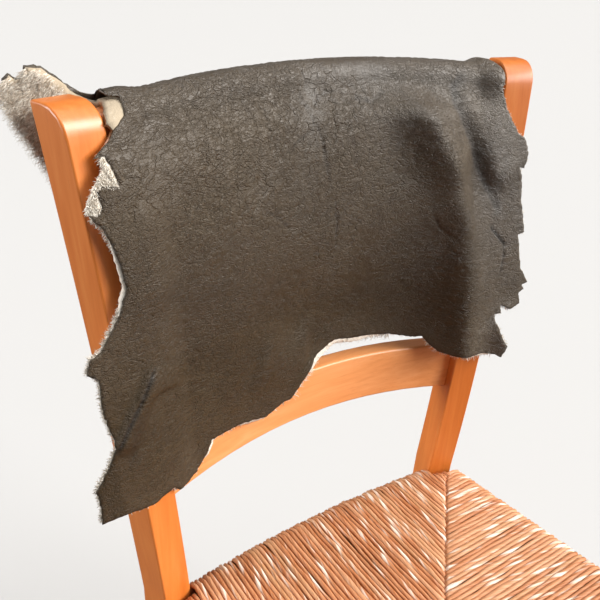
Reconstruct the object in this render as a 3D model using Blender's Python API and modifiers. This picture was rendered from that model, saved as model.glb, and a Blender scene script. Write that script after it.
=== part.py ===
"""A leather hide draped over the back of a wooden chair with a rush seat.

Sizes are metres and +Z is up. The chair faces -Y and stands on z = 0. The tables are in
millimetres. The hide is one sheet, cut from a flat outline and then laid over the crest rail.
"""

import math

import bmesh
import bpy
from mathutils import Matrix, Vector
from mathutils.geometry import delaunay_2d_cdt

MM = 0.001
GAP = 0.0003  # between pieces that touch
SMOOTH_BELOW = math.radians(35)  # edges that turn by less than this are shaded smooth
HIDE_SMOOTH_BELOW = math.radians(60)
ALONG_X = Vector((1, 0, 0))
ALONG_Y = Vector((0, 1, 0))
ALONG_Z = Vector((0, 0, 1))
COLLECTION = "hide_on_chair"

# The chair's driving sizes.
SEAT_HEIGHT = 0.450
POST_ABOVE_SEAT = 0.430
POST_WIDTH = 0.0282
POST_DEPTH = 0.0317
POST_TURN = math.radians(16.3)  # the front faces look inwards, square to the bowed rails
POST_ROUND = 0.018  # the big round at the front of each post's top
POST_EDGE = 0.0018
INNER_HALF = 0.1452  # half the space between the posts at the seat
SPLAY = 0.077  # sideways run of a post for each metre above the seat
LEAN = -0.065  # backward run of a post for each metre, at the seat
CURVE = 0.168  # how that run grows above the seat
POST_STEPS = 18

# The two bowed back rails. Height and arch are measured at the rail's end and middle.
RAIL_SETBACK = 0.0093
RAIL_BOW = 0.025
RAIL_THICK = 0.018
RAIL_STEPS = 14
RAIL_COLUMNS = ("name", "bottom", "height", "bottom_arch", "top_arch", "edge_round")
RAILS = (
    ("crest_rail", 0.361, 0.059, 0.009, 0.0115, 0.006),
    ("lower_rail", 0.1055, 0.050, 0.009, 0.010, 0.0025),
)

# The seat, the front legs and the stretchers.
SEAT_THICK = 0.034
SEAT_BACK = 0.010
SEAT_FRONT = -0.385
SEAT_HALF_BACK = 0.180
SEAT_HALF_FRONT = 0.212
SEAT_CORNER = 0.016
SEAT_EDGE = 0.0125
SEAT_EDGE_STEPS = 3
SEAT_BOW = 0.006  # how far its back edge bows out in the middle
SEAT_BOW_STEPS = 8
SEAT_CORNER_STEPS = 4
LEG_SIZE = 0.032
LEG_INSET = 0.021
LEG_EDGE = 0.0025
STRETCHER_RADIUS = 0.0105
STRETCHER_SIDES = 16
SIDE_STRETCHER_HEIGHT = 0.190
CROSS_STRETCHER_HEIGHT = 0.250

# The hide. "Along" runs over the crest rail: above 0 in front, below 0 behind.
HIDE_THICK = 0.005  # leather and its short wool
CROWN_CLEAR = 0.0009  # it rests on the crest rail's top
EDGE_CLEAR = 0.0022  # and clears every edge
CROWN_FLAT = 0.003
BEND_RADIUS = RAIL_THICK / 2 + EDGE_CLEAR + HIDE_THICK / 2 - CROWN_FLAT
GRID_STEP = 0.0115
CROWN_STEP = 0.0035
CROWN_BAND = 0.0245
EDGE_STEP = 0.012
EDGE_KEEP = 0.45  # in grid steps, from the cut's edge to the nearest place inside
POST_MARGIN = 0.040  # the front leaves the rails' bow for the posts over this width,
POST_MARGIN_INSIDE = 0.030  # and starts this far inside the post
POST_WIDTHS_OUT = 1.6  # past this many post widths it goes straight on sideways
BACK_MARGIN = 0.030
POST_BACK_CLEAR = 0.002
LOOSE_RUN = 0.030  # the folds grow over this length below the crest rail

EDGE_COLUMNS = ("across", "along")
# Front left, from the crest rail down: the notch at the post, the torn tip, the hollow, the tab.
LEFT_EDGE = (
    (-171, 16),
    (-178, 23),
    (-191, 32),
    (-188, 38),
    (-196, 48),
    (-203, 60),
    (-199, 67),
    (-193, 74),
    (-189, 85),
    (-185, 99),
    (-183, 116),
    (-189, 132),
    (-197, 144),
    (-205, 155),
    (-213, 158),
    (-216, 168),
    (-209, 174),
    (-209, 201),
    (-203, 232),
    (-210, 248),
    (-221, 264),
    (-219, 279),
    (-220, 295),
)
# Front bottom, from left to right: the long lobe, the step up, the short right part.
BOTTOM_EDGE = (
    (-201, 295),
    (-178, 303),
    (-160, 302),
    (-152, 311),
    (-132, 313),
    (-120, 304),
    (-114, 292),
    (-85, 294),
    (-54, 302),
    (-38, 296),
    (-26, 295),
    (-9, 276),
    (1, 265),
    (12, 259),
    (25, 253),
    (44, 256),
    (66, 257),
    (87, 259),
    (106, 262),
    (115, 260),
    (120, 267),
    (127, 274),
    (139, 276),
    (152, 275),
    (168, 277),
    (186, 280),
)
# Front right, from the bottom up: the corner, torn points, the square tab, the torn ear.
RIGHT_EDGE = (
    (194, 284),
    (197, 271),
    (190, 259),
    (183, 244),
    (183, 236),
    (189, 236),
    (189, 227),
    (198, 233),
    (213, 230),
    (210, 218),
    (217, 216),
    (213, 210),
    (221, 209),
    (208, 192),
    (203, 169),
    (200, 156),
    (206, 154),
    (204, 143),
    (199, 123),
    (198, 108),
    (195, 98),
    (189, 90),
    (196, 92),
    (199, 84),
    (198, 73),
    (194, 65),
    (188, 62),
    (184, 57),
    (179, 48),
    (174, 39),
    (170, 26),
    (167, 18),
)
# Behind, from right to left and up again to the flap that stands out past the left post.
BACK_EDGE = (
    (161, 0),
    (163, -24),
    (177, -44),
    (185, -80),
    (179, -122),
    (187, -165),
    (178, -205),
    (150, -226),
    (108, -219),
    (62, -236),
    (10, -228),
    (-44, -240),
    (-92, -226),
    (-138, -234),
    (-172, -222),
    (-186, -190),
    (-181, -150),
    (-189, -110),
    (-192, -80),
    (-204, -50),
    (-213, -34),
    (-218, -22),
    (-223, -8),
    (-222, 2),
    (-218, 5),
    (-214, 2),
    (-209, 3),
    (-208, 9),
    (-198, 8),
    (-188, 0),
    (-180, -8),
    (-172, -9),
)
# Folds: how far each stands forward, how wide it is to the left and right of its line, over what
# share of the line it fades in and out, and the line's points on the flat cut.
FOLD_COLUMNS = ("name", "forward", "left_width", "right_width", "fade", "line")
# The long rise before the right post and its crest follow one line.
RISE_LINE = (
    (76, 8), (83, 41), (97, 63), (110, 88), (119, 115), (132, 146), (138, 180), (144, 290), (150, 350),
)
FRONT_FOLDS = (
    ("rise before the post", 7, 22, 34, 0.06, RISE_LINE),
    ("top of the rise", 9, 20, 30, 0.30, ((78, 16), (83, 41), (97, 63), (110, 88), (120, 112))),
    ("rise, wider below", 14, 44, 24, 0.25,
     ((92, 52), (110, 88), (119, 115), (132, 146), (138, 180), (143, 250), (152, 370))),
    ("crest of the rise", 4, 11, 10, 0.15, RISE_LINE),
    ("rise over the post", 7, 11, 26, 0.20, ((136, 4), (144, 41), (154, 64), (166, 90), (184, 116))),
    ("tail at the corner", 6, 20, 14, 0.20, ((180, 236), (198, 262), (208, 300))),
    ("rounded shoulder", 4, 45, 40, 0.0, ((-200, 44), (0, 48), (90, 46))),
    ("belly", 14, 78, 78, 0.3, ((-240, 92), (-110, 98), (-30, 104), (90, 100), (190, 100))),
    ("belly of the left", 5, 60, 60, 0.0, ((-90, 110), (-80, 220))),
    ("hollow of the right", -9, 50, 50, 0.0, ((4, 230), (50, 238), (88, 240))),
    ("lap at the corner", 7, 4, 20, 0.20, ((-164, 180), (-176, 198), (-190, 216), (-207, 240))),
    ("valley beside the lap", -7, 10, 15, 0.10, ((-160, 206), (-176, 250), (-192, 304))),
    ("corner roll", 5, 14, 14, 0.0, ((196, 240), (203, 292))),
    ("shallow valley", -3, 22, 24, 0.2, ((-76, 178), (-40, 208), (-4, 232))),
    ("swell at the step", 4, 28, 26, 0.2, ((-70, 240), (-36, 250), (0, 256))),
    ("left shoulder", 5, 22, 16, 0.2, ((-140, 26), (-158, 90), (-160, 150))),
)
# Lengthwise waves of the back panel, plain because they are out of sight.
BACK_FOLDS = (
    ("left wave", 6, 26, 26, 0.0, ((-120, -40), (-135, -230))),
    ("middle wave", 4, 34, 34, 0.0, ((-10, -60), (5, -230))),
    ("right wave", 6, 28, 28, 0.0, ((110, -40), (125, -220))),
)
# The front may sink this far back, between the posts and between the rails.
SINK = 0.014
SINK_EASE = 0.030
SINK_BESIDE_POST = 0.010
SINK_BESIDE_RAIL = 0.004
FLAP_START = -0.170  # the sheet isn't bent over left of here, so it stands up behind the post
FLAP_FULL = -0.184
FLAP_FRONT = 0.013  # nor in front of this place
FLAP_RISE = 0.004
FLAP_CURL = 0.010  # its top leans back by this much,
CURL_START = -0.040  # from here, measured from the crest rail's top,
CURL_RUN = 0.060  # over this height

COLOURS = {
    "hide": ("#4F463D", 0.62),
    "wood": ("#D98A4E", 0.42),
    "rush": ("#BE8A5E", 0.75),
}


def as_rows(columns, table):
    """Each row of a table as a dictionary."""
    return [dict(zip(columns, row)) for row in table]


def smooth_step(t):
    """0 below 0, 1 above 1, and a soft step between."""
    t = min(max(t, 0.0), 1.0)
    return t * t * (3 - 2 * t)


def linear(code):
    """One sRGB hex colour as linear RGBA."""
    parts = [int(code[i : i + 2], 16) / 255 for i in (1, 3, 5)]
    return [c / 12.92 if c <= 0.04045 else ((c + 0.055) / 1.055) ** 2.4 for c in parts] + [1.0]


# ---------------------------------------------------------------- scene


def clear_scene():
    for obj in list(bpy.data.objects):
        bpy.data.objects.remove(obj, do_unlink=True)


def material(name):
    """The Principled material of one kind of surface, made once."""
    if name in bpy.data.materials:
        return bpy.data.materials[name]
    colour, roughness = COLOURS[name]
    made = bpy.data.materials.new(name)
    made.use_nodes = True
    shader = made.node_tree.nodes["Principled BSDF"]
    shader.inputs["Base Color"].default_value = linear(colour)
    shader.inputs["Roughness"].default_value = roughness
    shader.inputs["Metallic"].default_value = 0.0
    return made


def add_object(name, data, surface):
    """A named object in the part's collection, with its material."""
    obj = bpy.data.objects.new(name, data)
    bpy.data.collections[COLLECTION].objects.link(obj)
    data.materials.clear()
    data.materials.append(material(surface))
    return obj


def finish_mesh(name, bm, surface, smooth_below=SMOOTH_BELOW):
    """A bmesh as a shaded, outward-facing object."""
    bmesh.ops.recalc_face_normals(bm, faces=bm.faces)
    if bm.calc_volume(signed=True) < 0:
        bmesh.ops.reverse_faces(bm, faces=bm.faces)
    mesh = bpy.data.meshes.new(name)
    bm.to_mesh(mesh)
    bm.free()
    mesh.shade_smooth()
    mesh.set_sharp_from_angle(angle=smooth_below)
    return add_object(name, mesh, surface)


# ---------------------------------------------------------------- chair


def post_inner(height):
    """Half the space between the posts at a height above the seat."""
    return INNER_HALF + SPLAY * min(max(height, 0.0), POST_ABOVE_SEAT)


def post_front(height):
    """Where a post's inner front corner is along Y."""
    above = min(max(height, 0.0), POST_ABOVE_SEAT)
    return LEAN * min(height, POST_ABOVE_SEAT) + CURVE * above * above


def box(size, corner):
    """A bmesh box with one corner at a point."""
    bm = bmesh.new()
    place = Matrix.Translation(Vector(corner) + Vector(size) / 2)
    bmesh.ops.create_cube(bm, size=1.0, matrix=place @ Matrix.Diagonal((*size, 1)))
    return bm


def bevel(bm, edges, width, steps):
    bmesh.ops.bevel(
        bm, geom=edges, offset=width, segments=steps, profile=0.5, affect="EDGES", clamp_overlap=True
    )


def sharp_edges(bm, keep_below):
    """The square edges that don't lie on the bottom."""
    return [
        e
        for e in bm.edges
        if e.calc_face_angle(0.0) > math.radians(50)
        and max(v.co.z for v in e.verts) > keep_below + 1e-6
    ]


def cut_across(bm, places, axis):
    """Cuts every face at some places along an axis."""
    for place in places:
        everything = bm.verts[:] + bm.edges[:] + bm.faces[:]
        bmesh.ops.bisect_plane(bm, geom=everything, plane_co=axis * place, plane_no=axis)


def make_post(name, side):
    """A back leg and post in one: a box, rounded at the top, then bent to its line."""
    bottom = -SEAT_HEIGHT
    bm = box((POST_WIDTH, POST_DEPTH, SEAT_HEIGHT + POST_ABOVE_SEAT), (0, 0, bottom))
    top_front = [
        e for e in bm.edges if all(v.co.z > 0 and v.co.y < POST_DEPTH / 2 for v in e.verts)
    ]
    bevel(bm, top_front, POST_ROUND, 7)
    bevel(bm, sharp_edges(bm, bottom), POST_EDGE, 2)
    above = [POST_ABOVE_SEAT * i / POST_STEPS for i in range(POST_STEPS)]
    cut_across(bm, above, ALONG_Z)
    for v in bm.verts:
        out, back, height = v.co
        sideways = out * math.cos(POST_TURN) + back * math.sin(POST_TURN)
        v.co.x = side * (post_inner(height) + sideways)
        v.co.y = post_front(height) - out * math.sin(POST_TURN) + back * math.cos(POST_TURN)
        v.co.z = height + SEAT_HEIGHT
    return finish_mesh(name, bm, "wood")


def rail_end(height, back):
    """Where a back rail ends against the turned post, at a depth behind the rail's front."""
    outwards = (RAIL_SETBACK + back) * math.tan(POST_TURN)
    return post_inner(height) + outwards - GAP / math.cos(POST_TURN)


def rail_crown(across, height, back):
    """1 at the middle of a back rail and 0 at its end, as a parabola."""
    share = min(abs(across) / rail_end(height, back), 1.0)
    return 1 - share * share


def rail_face(across, height, back):
    """A bowed rail's place along Y, at a depth behind its front."""
    return post_front(height) + RAIL_SETBACK + RAIL_BOW * rail_crown(across, height, back) + back


def make_rail(row):
    """A back rail: a box from -1 to 1, rounded along its edges, then bowed between the posts."""
    bm = box((2.0, RAIL_THICK, row["height"]), (-1.0, 0, 0))
    long_edges = [e for e in bm.edges if abs(e.verts[0].co.x - e.verts[1].co.x) > 1]
    bevel(bm, long_edges, row["edge_round"], 3)
    places = [-1 + 2 * i / RAIL_STEPS for i in range(1, RAIL_STEPS)]
    cut_across(bm, places, ALONG_X)
    for v in bm.verts:
        share, back, up = v.co
        crown = 1 - share * share
        arch = row["bottom_arch"] + (row["top_arch"] - row["bottom_arch"]) * up / row["height"]
        height = row["bottom"] + up + arch * crown
        v.co.x = share * rail_end(height, back)
        v.co.y = post_front(height) + RAIL_SETBACK + RAIL_BOW * crown + back
        v.co.z = height + SEAT_HEIGHT
    return finish_mesh(row["name"], bm, "wood")


def make_seat():
    """The rush seat as one slab, notched round the posts."""
    turn = math.tan(POST_TURN)
    inner = post_inner(0) - GAP + LEAN * SEAT_THICK * turn
    outer = INNER_HALF + POST_WIDTH * math.cos(POST_TURN)
    front_of_outer = -POST_WIDTH * math.sin(POST_TURN) - GAP * 2
    side_points = [
        (inner, SEAT_BACK),
        (inner, -GAP * 2),
        (outer, front_of_outer),
        (SEAT_HALF_BACK, front_of_outer - 0.001),
    ]
    for i in range(SEAT_CORNER_STEPS + 1):
        angle = math.pi / 2 * i / SEAT_CORNER_STEPS
        side_points.append(
            (
                SEAT_HALF_FRONT - SEAT_CORNER * (1 - math.cos(angle)),
                SEAT_FRONT + SEAT_CORNER * (1 - math.sin(angle)),
            )
        )
    back_points = []
    for i in range(1, SEAT_BOW_STEPS):
        share = 1 - 2 * i / SEAT_BOW_STEPS
        back_points.append((-inner * share, SEAT_BACK + SEAT_BOW * (1 - share * share)))
    outline = side_points + [(-x, y) for x, y in reversed(side_points)] + back_points
    curve = bpy.data.curves.new("rush_seat", "CURVE")
    curve.dimensions = "2D"
    curve.fill_mode = "BOTH"
    curve.extrude = SEAT_THICK / 2
    spline = curve.splines.new("POLY")
    spline.points.add(len(outline) - 1)
    for point, (x, y) in zip(spline.points, outline):
        point.co = (x, y, 0, 1)
    spline.use_cyclic_u = True
    seat = add_object("rush_seat", curve, "rush")
    seat.location.z = SEAT_HEIGHT - SEAT_THICK / 2
    weld = seat.modifiers.new("weld", "WELD")
    weld.merge_threshold = GAP / 3
    rounded = seat.modifiers.new("round", "BEVEL")
    rounded.width = SEAT_EDGE
    rounded.segments = SEAT_EDGE_STEPS
    rounded.limit_method = "ANGLE"
    rounded.angle_limit = math.radians(60)
    return seat


def leg_place(side):
    """The middle of a front leg."""
    return Vector((side * (SEAT_HALF_FRONT - LEG_INSET), SEAT_FRONT + LEG_INSET, 0))


def make_leg(name, side):
    centre = leg_place(side)
    height = SEAT_HEIGHT - SEAT_THICK - GAP
    bm = box((LEG_SIZE, LEG_SIZE, height), (centre.x - LEG_SIZE / 2, centre.y - LEG_SIZE / 2, 0))
    upright = [e for e in bm.edges if abs(e.verts[0].co.z - e.verts[1].co.z) > LEG_SIZE]
    bevel(bm, upright, LEG_EDGE, 2)
    return finish_mesh(name, bm, "wood")


def make_stretcher(name, start, start_normal, end, end_normal):
    """A round stretcher between two faces, each given by a point and a normal."""
    axis = (end - start).normalized()
    length = (end - start).length
    turn = axis.to_track_quat("Z", "Y").to_matrix().to_4x4()
    place = Matrix.Translation((start + end) / 2) @ turn
    bm = bmesh.new()
    bmesh.ops.create_cone(
        bm, cap_ends=True, segments=STRETCHER_SIDES, radius1=STRETCHER_RADIUS, radius2=STRETCHER_RADIUS,
        depth=length, matrix=place,
    )
    for v in bm.verts:
        near_start = (v.co - start).dot(axis) < length / 2
        point, normal = (start, start_normal) if near_start else (end, end_normal)
        inwards = axis if near_start else -axis
        v.co += axis * ((point - v.co).dot(normal) / axis.dot(normal))
        v.co += inwards * (GAP / abs(axis.dot(normal)))
    return finish_mesh(name, bm, "wood")


def post_face(side, height, which):
    """A point in the middle of a post's front or inner face below the seat, and its normal."""
    level = height - SEAT_HEIGHT
    corner = Vector((side * post_inner(level), post_front(level), height))
    sideways = Vector((side * math.cos(POST_TURN), -math.sin(POST_TURN), 0))
    backward = Vector((side * math.sin(POST_TURN), math.cos(POST_TURN), 0))
    upright = Vector((0, LEAN, 1))
    if which == "front":
        return corner + sideways * POST_WIDTH / 2, sideways.cross(upright).normalized()
    return corner + backward * POST_DEPTH / 2, backward.cross(upright).normalized()


def make_stretchers():
    for name, side in (("left", -1), ("right", 1)):
        leg = leg_place(side) + Vector((0, LEG_SIZE / 2, SIDE_STRETCHER_HEIGHT))
        point, normal = post_face(side, SIDE_STRETCHER_HEIGHT, "front")
        make_stretcher(f"stretcher_{name}", leg, ALONG_Y, point, normal)
    left, left_normal = post_face(-1, CROSS_STRETCHER_HEIGHT, "inner")
    right, right_normal = post_face(1, CROSS_STRETCHER_HEIGHT, "inner")
    make_stretcher("stretcher_back", left, left_normal, right, right_normal)
    reach = leg_place(1) + Vector((-LEG_SIZE / 2, 0, CROSS_STRETCHER_HEIGHT))
    mirrored = Vector((-reach.x, reach.y, reach.z))
    make_stretcher("stretcher_front", mirrored, ALONG_X, reach, ALONG_X)


# ---------------------------------------------------------------- hide


def crest_row():
    return as_rows(RAIL_COLUMNS, RAILS)[0]


def crest_top(across):
    """The top of the crest rail above the seat."""
    row = crest_row()
    ends = row["bottom"] + row["height"]
    return ends + row["top_arch"] * rail_crown(across, ends, RAIL_THICK / 2)


def beside_line(line, place):
    """A place's distance from a line, the share of the way along, and 1 on the line's left."""
    corners = [Vector(point) * MM for point in line]
    whole = sum((end - start).length for start, end in zip(corners, corners[1:]))
    begun = 0.0
    found = (math.inf, 0.0, 0.0)
    for start, end in zip(corners, corners[1:]):
        run = end - start
        share = min(max((place - start).dot(run) / run.length_squared, 0.0), 1.0)
        aside = place - start - run * share
        if aside.length < found[0]:
            turn = run.x * aside.y - run.y * aside.x
            side = math.copysign(1.0, turn) if turn else 0.0
            found = (aside.length, (begun + share * run.length) / whole, side)
        begun += run.length
    return found


def fold_offset(table, across, along):
    """How far the folds push the sheet away from the chair at a place on the flat cut."""
    total = 0.0
    for fold in as_rows(FOLD_COLUMNS, table):
        nearest, share, side = beside_line(fold["line"], Vector((across, along)))
        width = fold["left_width" if side > 0 else "right_width"] * MM
        fade = fold["fade"]
        ends = smooth_step(share / fade) * smooth_step((1 - share) / fade) if fade else 1.0
        total += fold["forward"] * MM * math.exp(-((nearest / width) ** 2)) * ends
    return total


def room_behind(across, height):
    """How far the front may sink back between the posts and between the rails."""
    crest, lower = as_rows(RAIL_COLUMNS, RAILS)
    lower_top = lower["bottom"] + lower["height"] + lower["top_arch"]
    beside = smooth_step((post_inner(height) - SINK_BESIDE_POST - abs(across)) / SINK_EASE)
    below = smooth_step((crest["bottom"] - SINK_BESIDE_RAIL - height) / SINK_EASE)
    above = smooth_step((height - lower_top - SINK_BESIDE_RAIL) / SINK_EASE)
    return SINK * beside * below * above


def panel_front(across, height):
    """The sheet's middle in front: over the bowed rails, and forward over the posts."""
    inner = post_inner(height)
    stand_off = EDGE_CLEAR + HIDE_THICK / 2
    over_rail = rail_face(across, height, 0) - stand_off
    out = min(max((abs(across) - inner) / POST_WIDTH, 0.0), POST_WIDTHS_OUT)
    over_post = post_front(height) - stand_off - POST_WIDTH * math.sin(POST_TURN) * out
    blend = smooth_step((abs(across) - inner + POST_MARGIN_INSIDE) / POST_MARGIN)
    return over_rail * (1 - blend) + over_post * blend


def panel_back(across, height):
    """The sheet's middle behind: off the crest rail and the posts' back corners."""
    inner = post_inner(height)
    stand_off = EDGE_CLEAR + HIDE_THICK / 2
    over_rail = rail_face(across, height, RAIL_THICK) + stand_off
    post_back = post_front(height) + POST_DEPTH * math.cos(POST_TURN)
    over_post = post_back + POST_BACK_CLEAR + stand_off
    blend = smooth_step((abs(across) - inner + BACK_MARGIN) / BACK_MARGIN)
    return over_rail * (1 - blend) + max(over_post, over_rail) * blend


def bent_over(across, along, plane, height):
    """A place on the sheet where it bends over the crest rail, level at the top, then round."""
    crown = crest_top(across) + CROWN_CLEAR + HIDE_THICK / 2
    radius = BEND_RADIUS
    middle = rail_face(across, crown, RAIL_THICK / 2)
    towards = -1 if along >= 0 else 1
    run = abs(along)
    if run <= CROWN_FLAT:
        return Vector((across, middle + towards * run, crown))
    angle = (run - CROWN_FLAT) / radius
    if angle >= math.pi / 2:
        return Vector((across, plane, height))
    reach = CROWN_FLAT + radius * math.sin(angle)
    missing = plane - (middle + towards * (CROWN_FLAT + radius))
    settled = missing * smooth_step(angle / (math.pi / 2))
    return Vector((across, middle + towards * reach + settled, crown - radius * (1 - math.cos(angle))))


def drape(across, along):
    """Where a place on the flat cut lies on the chair, with heights above the seat."""
    shoulder = crest_top(across) + CROWN_CLEAR + HIDE_THICK / 2 - BEND_RADIUS
    over_top = CROWN_FLAT + BEND_RADIUS * math.pi / 2
    down = abs(along) - over_top
    height = shoulder - max(down, 0.0)
    loose = smooth_step(down / LOOSE_RUN)
    if along >= 0:
        forward = fold_offset(FRONT_FOLDS, across, along) * loose
        plane = panel_front(across, height) - max(forward, -room_behind(across, height))
    else:
        plane = panel_back(across, height) + fold_offset(BACK_FOLDS, across, along) * loose
    bent = bent_over(across, along, plane, height)
    if along >= FLAP_FRONT or across >= FLAP_START:
        return bent
    up = shoulder + over_top + along + FLAP_RISE
    curl = FLAP_CURL * smooth_step((up - crest_top(across) - CURL_START) / CURL_RUN)
    unbent = Vector((across, panel_back(across, min(up, POST_ABOVE_SEAT)) + curl, up))
    return bent.lerp(unbent, smooth_step((FLAP_START - across) / (FLAP_START - FLAP_FULL)))


def hide_outline():
    """The flat cut's edge in metres, with points close enough to bend."""
    corners = [
        Vector((row["across"], row["along"])) * MM
        for table in (LEFT_EDGE, BOTTOM_EDGE, RIGHT_EDGE, BACK_EDGE)
        for row in as_rows(EDGE_COLUMNS, table)
    ]
    points = []
    for start, end in zip(corners, corners[1:] + corners[:1]):
        step = CROWN_STEP if min(abs(start.y), abs(end.y)) < CROWN_BAND else EDGE_STEP
        count = max(1, math.ceil((end - start).length / step))
        points += [start.lerp(end, i / count) for i in range(count)]
    return points


def inside_outline(point, outline, margin):
    """True for a place inside the cut and at least a margin from its edge."""
    crossings = False
    for a, b in zip(outline, outline[1:] + outline[:1]):
        if (a.y > point.y) != (b.y > point.y):
            if point.x < a.x + (point.y - a.y) / (b.y - a.y) * (b.x - a.x):
                crossings = not crossings
        run = b - a
        share = min(max((point - a).dot(run) / run.length_squared, 0.0), 1.0)
        if (point - a - run * share).length < margin:
            return False
    return crossings


def grid_places(outline):
    """Places inside the cut: even rows, closer together over the crest rail."""
    low = min(p.y for p in outline)
    high = max(p.y for p in outline)
    left = min(p.x for p in outline)
    right = max(p.x for p in outline)
    crown_rows = round(CROWN_BAND / CROWN_STEP)
    front_rows = int((high - CROWN_BAND) / GRID_STEP)
    back_rows = int((-low - CROWN_BAND) / GRID_STEP)
    rows = [-CROWN_BAND - GRID_STEP * i for i in range(back_rows, 0, -1)]
    rows += [CROWN_STEP * i for i in range(-crown_rows, crown_rows + 1)]
    rows += [CROWN_BAND + GRID_STEP * i for i in range(1, front_rows + 1)]
    places = []
    for number, along in enumerate(rows):
        shift = GRID_STEP / 2 * (number % 2)
        for i in range(int((right - left) / GRID_STEP) + 1):
            place = Vector((left + shift + i * GRID_STEP, along))
            if inside_outline(place, outline, GRID_STEP * EDGE_KEEP):
                places.append(place)
    return places


def make_hide():
    """The flat cut, filled with triangles, draped and given its thickness."""
    outline = hide_outline()
    places = outline + grid_places(outline)
    edges = [(i, (i + 1) % len(outline)) for i in range(len(outline))]
    flat, _, faces, _, _, _ = delaunay_2d_cdt(places, edges, [], 1, 1e-7)
    bm = bmesh.new()
    verts = []
    for place in flat:
        point = drape(place.x, place.y)
        verts.append(bm.verts.new((point.x, point.y, point.z + SEAT_HEIGHT)))
    for face in faces:
        bm.faces.new([verts[i] for i in face])
    hide = finish_mesh("hide", bm, "hide", HIDE_SMOOTH_BELOW)
    solid = hide.modifiers.new("thickness", "SOLIDIFY")
    solid.thickness = HIDE_THICK
    solid.offset = 0.0
    solid.use_even_offset = True
    return hide


# ---------------------------------------------------------------- frame


def stand_on_origin():
    """Moves everything so that the origin is under the middle of the whole."""
    bpy.context.view_layer.update()
    depsgraph = bpy.context.evaluated_depsgraph_get()
    points = []
    parts = bpy.data.collections[COLLECTION].objects
    for obj in parts:
        shown = obj.evaluated_get(depsgraph)
        mesh = shown.to_mesh()
        points += [obj.matrix_world @ v.co for v in mesh.vertices]
        shown.to_mesh_clear()
    middle_x = (min(p.x for p in points) + max(p.x for p in points)) / 2
    middle_y = (min(p.y for p in points) + max(p.y for p in points)) / 2
    for obj in parts:
        obj.location.x -= middle_x
        obj.location.y -= middle_y
    print(f"moved by {-middle_x:.6f}, {-middle_y:.6f}")


def main():
    clear_scene()
    collection = bpy.data.collections.new(COLLECTION)
    bpy.context.scene.collection.children.link(collection)
    make_post("post_left", -1)
    make_post("post_right", 1)
    for row in as_rows(RAIL_COLUMNS, RAILS):
        make_rail(row)
    make_seat()
    make_leg("front_leg_left", -1)
    make_leg("front_leg_right", 1)
    make_stretchers()
    make_hide()
    stand_on_origin()


main()
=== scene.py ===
# %% [markdown]
# # A sheepskin hide over a rush-seated chair
# The object is a small tanned sheepskin, leather outside and wool inside, that hangs over the top
# rail of a beech chair. The chair and the hide come in as plain solids that already have their
# true sizes. Each step below dresses one of them: the wood, the rush seat, the leather, the wool.
# Everything is in metres, and +Z is up.

# %% Load the solids
import math
from functools import partial

import bmesh
import bpy
import numpy as np
from mathutils import Euler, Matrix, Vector, noise
from mathutils.geometry import delaunay_2d_cdt


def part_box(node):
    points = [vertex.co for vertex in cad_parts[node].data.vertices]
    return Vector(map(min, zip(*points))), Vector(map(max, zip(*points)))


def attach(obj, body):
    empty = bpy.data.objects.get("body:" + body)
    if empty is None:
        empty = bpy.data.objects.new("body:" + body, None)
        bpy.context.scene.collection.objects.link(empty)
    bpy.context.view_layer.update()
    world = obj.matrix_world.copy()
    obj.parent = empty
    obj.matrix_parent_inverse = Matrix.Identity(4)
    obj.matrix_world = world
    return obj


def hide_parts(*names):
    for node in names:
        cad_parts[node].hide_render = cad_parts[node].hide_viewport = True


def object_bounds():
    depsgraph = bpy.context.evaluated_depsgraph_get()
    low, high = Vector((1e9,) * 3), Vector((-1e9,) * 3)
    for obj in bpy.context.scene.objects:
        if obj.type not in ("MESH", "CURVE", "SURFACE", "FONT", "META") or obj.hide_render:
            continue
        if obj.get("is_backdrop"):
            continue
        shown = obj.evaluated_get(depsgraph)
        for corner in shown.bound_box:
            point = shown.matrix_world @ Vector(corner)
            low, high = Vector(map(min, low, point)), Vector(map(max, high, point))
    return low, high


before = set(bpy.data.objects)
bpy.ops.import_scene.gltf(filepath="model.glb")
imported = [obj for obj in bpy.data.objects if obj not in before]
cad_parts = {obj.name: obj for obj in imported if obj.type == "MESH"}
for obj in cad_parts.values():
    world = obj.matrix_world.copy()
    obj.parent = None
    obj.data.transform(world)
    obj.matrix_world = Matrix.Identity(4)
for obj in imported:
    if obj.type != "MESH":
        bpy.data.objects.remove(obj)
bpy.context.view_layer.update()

MM = 0.001
bpy.ops.object.select_all(action="DESELECT")
print("solids:", ", ".join(sorted(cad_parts)))

# %% [markdown]
# ## Where things are
# It is easier to think from the seat: x = 0 is the chair's middle, y = 0 the front of the back
# posts at the seat, and z = 0 the seat's top. The loaded frame has its origin on the floor, so one
# shift takes a place from the seat to the frame. It is worked out from the solids' own boxes.

# %% The seat's own frame
SEAT_HEIGHT = 0.450
LEG_AHEAD = 0.364  # from the posts' front to the middle of the front legs
POST_TURN = math.radians(16.3)  # how far each post is turned about its own length

left_low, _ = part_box("post_left")
_, right_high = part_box("post_right")
leg_low, leg_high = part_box("front_leg_left")
FROM_SEAT = np.array(
    ((left_low.x + right_high.x) / 2, (leg_low.y + leg_high.y) / 2 + LEG_AHEAD, SEAT_HEIGHT)
)
print("shift from the seat to the frame:", FROM_SEAT.round(5))

# %% [markdown]
# ## The camera
# It stands in front of the chair's left half and looks down at the back, as a person would who
# walks past. Its place and turn were solved from the edges of the posts, the rails and the seat.

# %% Camera
CAMERA_FROM_SEAT = (-0.3136, -0.4078, 0.5126)
CAMERA_TURN = (62.933, -1.229, -33.832)  # degrees
LENS, SENSOR = 41.244, 36.0  # millimetres

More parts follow.
